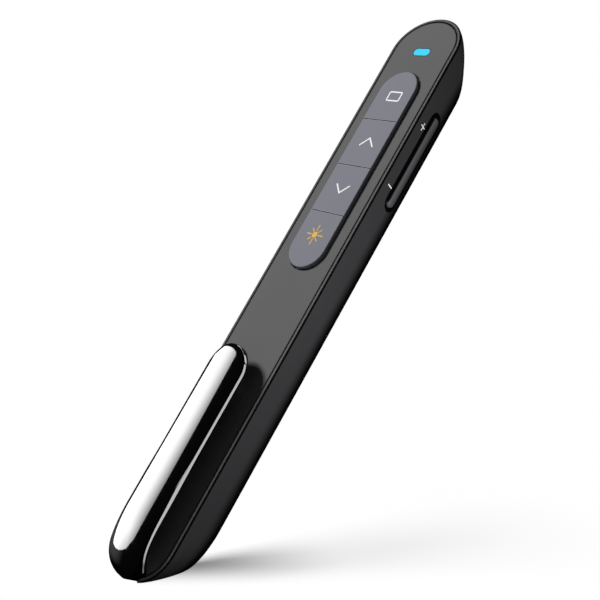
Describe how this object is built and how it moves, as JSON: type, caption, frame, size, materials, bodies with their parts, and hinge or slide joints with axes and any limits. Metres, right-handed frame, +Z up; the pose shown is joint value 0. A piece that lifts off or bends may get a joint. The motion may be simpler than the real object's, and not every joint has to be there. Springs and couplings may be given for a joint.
{
  "type": "wireless presentation clicker",
  "caption": "Slim handheld presenter with a row of keys, a side rocker, a laser nose, a pocket clip and a stowed radio receiver.",
  "frame": {"origin": "centre of the flat rest strip on the underside, below the middle of the body", "axes": "+Y towards the laser nose, +X towards the volume rocker, +Z up through the keys"},
  "size_m": [0.02, 0.146, 0.0192],
  "materials": {
    "shell_black": "satin",
    "panel_grey": "satin",
    "key_grey": "satin",
    "clip_black": "high gloss",
    "light_cyan": "frosted, lit from behind",
    "board_green": "solder mask",
    "chip_black": "moulded",
    "white_plastic": "satin",
    "steel": "satin",
    "plated_steel": "bright",
    "brass": "turned",
    "gold_contact": "gold plated",
    "lens_glass": "clear",
    "sleeve_grey": "printed film, no words",
    "lead_red": "insulated wire"
  },
  "bodies": {
    "case": {"bottom_shell": "shell_black", "top_panel": "panel_grey", "main_board": "board_green", "key_switches": "chip_black", "status_light_window": "light_cyan", "status_led": "white_plastic", "case_screws": "steel", "rocker_pin": "steel", "volume_switches": "chip_black", "power_switch": "plated_steel", "clip_pin": "steel", "clip_spring": "steel", "laser_barrel": "brass", "laser_lens": "lens_glass", "laser_diode": "gold_contact", "laser_driver_board": "board_green", "laser_leads": "steel", "laser_window": "lens_glass", "battery_cell": "steel", "battery_sleeve": "sleeve_grey", "battery_contact": "plated_steel", "battery_spring": "plated_steel", "battery_lead": "lead_red", "receiver_magnet": "plated_steel", "radio_chip": "chip_black", "crystal": "plated_steel", "power_converter": "chip_black", "board_passives": "white_plastic", "antenna": "gold_contact"},
    "laser_key": {"key_laser": "key_grey"},
    "page_down_key": {"key_page_down": "key_grey"},
    "page_up_key": {"key_page_up": "key_grey"},
    "screen_key": {"key_screen": "key_grey"},
    "rocker": {"volume_rocker": "shell_black"},
    "slider": {"power_slider": "shell_black", "power_switch_lever": "white_plastic"},
    "pocket_clip": {"clip": "clip_black"},
    "door": {"battery_door": "shell_black"},
    "receiver": {"usb_receiver_cap": "shell_black", "usb_receiver_plug": "plated_steel", "usb_receiver_tongue": "white_plastic", "usb_receiver_contacts": "gold_contact"}
  },
  "joints": [
    {"name": "laser_key_press", "type": "slide", "parent": "case", "child": "laser_key", "axis": [0, 0, -1], "range_m": [0, 0.0003], "stiffness_N_per_m": 600, "springref_m": -0.0002},
    {"name": "page_down_key_press", "type": "slide", "parent": "case", "child": "page_down_key", "axis": [0, 0, -1], "range_m": [0, 0.0003], "stiffness_N_per_m": 600, "springref_m": -0.0002},
    {"name": "page_up_key_press", "type": "slide", "parent": "case", "child": "page_up_key", "axis": [0, 0, -1], "range_m": [0, 0.0003], "stiffness_N_per_m": 600, "springref_m": -0.0002},
    {"name": "screen_key_press", "type": "slide", "parent": "case", "child": "screen_key", "axis": [0, 0, -1], "range_m": [0, 0.0003], "stiffness_N_per_m": 600, "springref_m": -0.0002},
    {"name": "rocker_turn", "type": "hinge", "parent": "case", "child": "rocker", "pos_m": [0.00475, 0.0377, 0.0071], "axis": [0, 0, 1], "range_deg": [-2, 2], "stiffness_Nm_per_rad": 0.05},
    {"name": "power_slide", "type": "slide", "parent": "case", "child": "slider", "axis": [0, 1, 0], "range_m": [0, 0.003]},
    {"name": "clip_turn", "type": "hinge", "parent": "case", "child": "pocket_clip", "pos_m": [0, -0.0694, 0.0096], "axis": [1, 0, 0], "range_deg": [0, 4], "stiffness_Nm_per_rad": 0.8, "springref_deg": -0.57},
    {"name": "door_slide", "type": "slide", "parent": "case", "child": "door", "axis": [0, 0, -1], "range_m": [0, 0.015]},
    {"name": "receiver_slide", "type": "slide", "parent": "case", "child": "receiver", "axis": [0, 0, -1], "range_m": [0, 0.02]}
  ]
}
